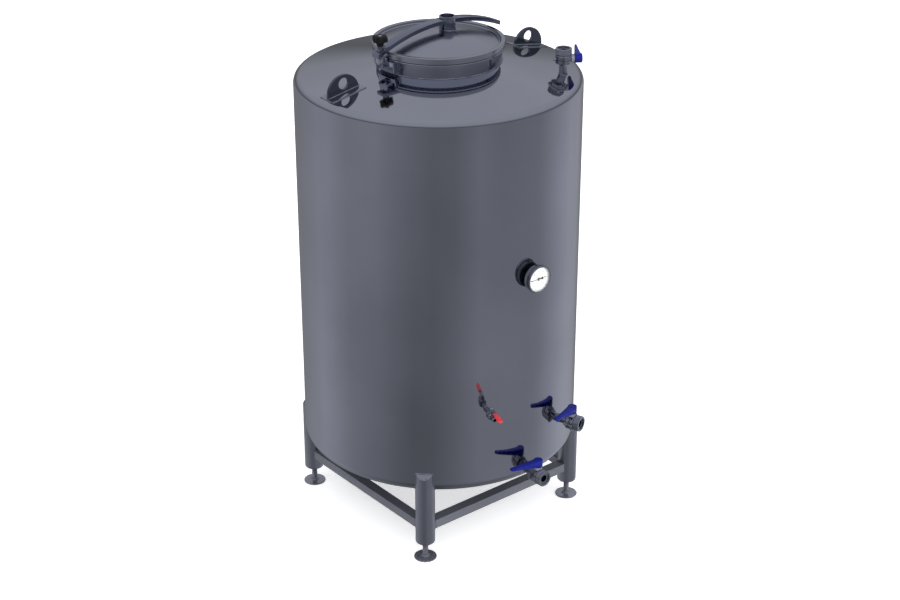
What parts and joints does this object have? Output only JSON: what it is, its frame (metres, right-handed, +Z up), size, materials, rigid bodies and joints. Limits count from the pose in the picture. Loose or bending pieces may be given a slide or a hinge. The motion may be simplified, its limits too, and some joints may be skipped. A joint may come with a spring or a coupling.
{
  "type": "vertical storage tank",
  "caption": "Vertical round stainless steel tank on legs with levelling feet, hinged manway, lifting lugs, butterfly valves, sampling valve and dial thermometer.",
  "frame": {"origin": "on the floor, on the tank's vertical axis", "axes": "+Z up; -Y is the front, with the drain valve and the thermometer; +X is the side of the manway hinge"},
  "size_m": [1, 1.1082, 1.853],
  "materials": {
    "shell_steel": "smooth bright rolled stainless sheet",
    "stand_steel": "brushed stainless tube",
    "foot_steel": "turned stainless",
    "fitting_steel": "polished stainless fitting",
    "lid_steel": "polished spun stainless",
    "bright_steel": "bright stainless fasteners",
    "black_plastic": "moulded black",
    "blue_plastic": "moulded royal blue",
    "red_plastic": "dipped red sleeve",
    "bush_plastic": "pale grey bearing plastic",
    "seal_rubber": "black food-grade rubber",
    "dial_face": "off-white printed plate",
    "pointer_black": "matt black",
    "gauge_glass": "clear flat glass"
  },
  "bodies": {
    "tank": {"tank_bottom": "shell_steel", "tank_shell": "shell_steel", "tank_roof": "shell_steel", "leg_front_right": "stand_steel", "leg_back_right": "stand_steel", "leg_back_left": "stand_steel", "leg_front_left": "stand_steel", "leg_caps": "stand_steel", "leg_plugs": "stand_steel", "crossbar_front": "stand_steel", "crossbar_right": "stand_steel", "crossbar_back": "stand_steel", "crossbar_left": "stand_steel", "foot_lock_nuts": "stand_steel", "manway_neck": "fitting_steel", "manway_flange": "fitting_steel", "hinge_ears": "fitting_steel", "hinge_pin": "bright_steel", "clamp_bracket": "fitting_steel", "lifting_lug_left": "fitting_steel", "lifting_lug_right": "fitting_steel", "lug_pads": "fitting_steel", "drain_valve_inlet": "fitting_steel", "drain_valve_outlet": "fitting_steel", "side_valve_inlet": "fitting_steel", "side_valve_outlet": "fitting_steel", "top_valve_inlet": "fitting_steel", "top_valve_outlet": "fitting_steel", "valve_seals": "seal_rubber", "valve_bushes": "bush_plastic", "valve_screws": "bright_steel", "thermometer_pocket": "fitting_steel", "thermometer_case": "fitting_steel", "thermometer_bezel": "fitting_steel", "thermometer_dial": "dial_face", "thermometer_glass": "gauge_glass", "sampling_body": "fitting_steel"},
    "lid": {"manway_lid": "lid_steel", "manway_gasket": "seal_rubber", "lid_boss": "fitting_steel", "arch_front": "fitting_steel", "arch_rear": "fitting_steel", "hinge_barrel": "fitting_steel", "clamp_sleeve": "fitting_steel"},
    "clamp": {"clamp_screw": "bright_steel", "star_knob": "black_plastic"},
    "drain_handle": {"drain_valve_handle": "blue_plastic", "drain_valve_disc": "fitting_steel"},
    "side_handle": {"side_valve_handle": "blue_plastic", "side_valve_disc": "fitting_steel"},
    "top_handle": {"top_valve_handle": "blue_plastic", "top_valve_disc": "fitting_steel"},
    "sampling_lever": {"sampling_lever": "fitting_steel", "sampling_grip": "red_plastic", "sampling_ball": "fitting_steel"},
    "gauge_pointer": {"thermometer_pointer": "pointer_black"},
    "foot_front_right": {"foot_front_right": "foot_steel"},
    "foot_back_right": {"foot_back_right": "foot_steel"},
    "foot_back_left": {"foot_back_left": "foot_steel"},
    "foot_front_left": {"foot_front_left": "foot_steel"}
  },
  "joints": [
    {"name": "lid_hinge", "type": "hinge", "parent": "tank", "child": "lid", "pos_m": [0.242, 0, 1.756], "axis": [0, 1, 0], "range_deg": [0, 100]},
    {"name": "clamp_knob_turn", "type": "hinge", "parent": "lid", "child": "clamp", "pos_m": [-0.249, 0, 1.807], "axis": [0, 0, 1], "continuous": true},
    {"name": "drain_valve_turn", "type": "hinge", "parent": "tank", "child": "drain_handle", "pos_m": [0, -0.554, 0.309], "axis": [0, 0, 1], "range_deg": [0, 90]},
    {"name": "side_valve_turn", "type": "hinge", "parent": "tank", "child": "side_handle", "pos_m": [0.18948, -0.52059, 0.444], "axis": [0, 0, 1], "range_deg": [0, 90]},
    {"name": "top_valve_turn", "type": "hinge", "parent": "tank", "child": "top_handle", "pos_m": [0.29731, -0.30788, 1.72476], "axis": [0.8572, -0.515, 0], "range_deg": [0, 90]},
    {"name": "sampling_valve_turn", "type": "hinge", "parent": "tank", "child": "sampling_lever", "pos_m": [-0.18743, -0.51495, 0.6], "axis": [0, 0, 1], "range_deg": [0, 90]},
    {"name": "thermometer_pointer_turn", "type": "hinge", "parent": "tank", "child": "gauge_pointer", "pos_m": [0, -0.537, 1.068], "axis": [0, -1, 0], "range_deg": [-225, 45]},
    {"name": "foot_front_right_level", "type": "slide", "parent": "tank", "child": "foot_front_right", "axis": [0, 0, 1], "range_m": [-0.03, 0.03]},
    {"name": "foot_back_right_level", "type": "slide", "parent": "tank", "child": "foot_back_right", "axis": [0, 0, 1], "range_m": [-0.03, 0.03]},
    {"name": "foot_back_left_level", "type": "slide", "parent": "tank", "child": "foot_back_left", "axis": [0, 0, 1], "range_m": [-0.03, 0.03]},
    {"name": "foot_front_left_level", "type": "slide", "parent": "tank", "child": "foot_front_left", "axis": [0, 0, 1], "range_m": [-0.03, 0.03]}
  ]
}
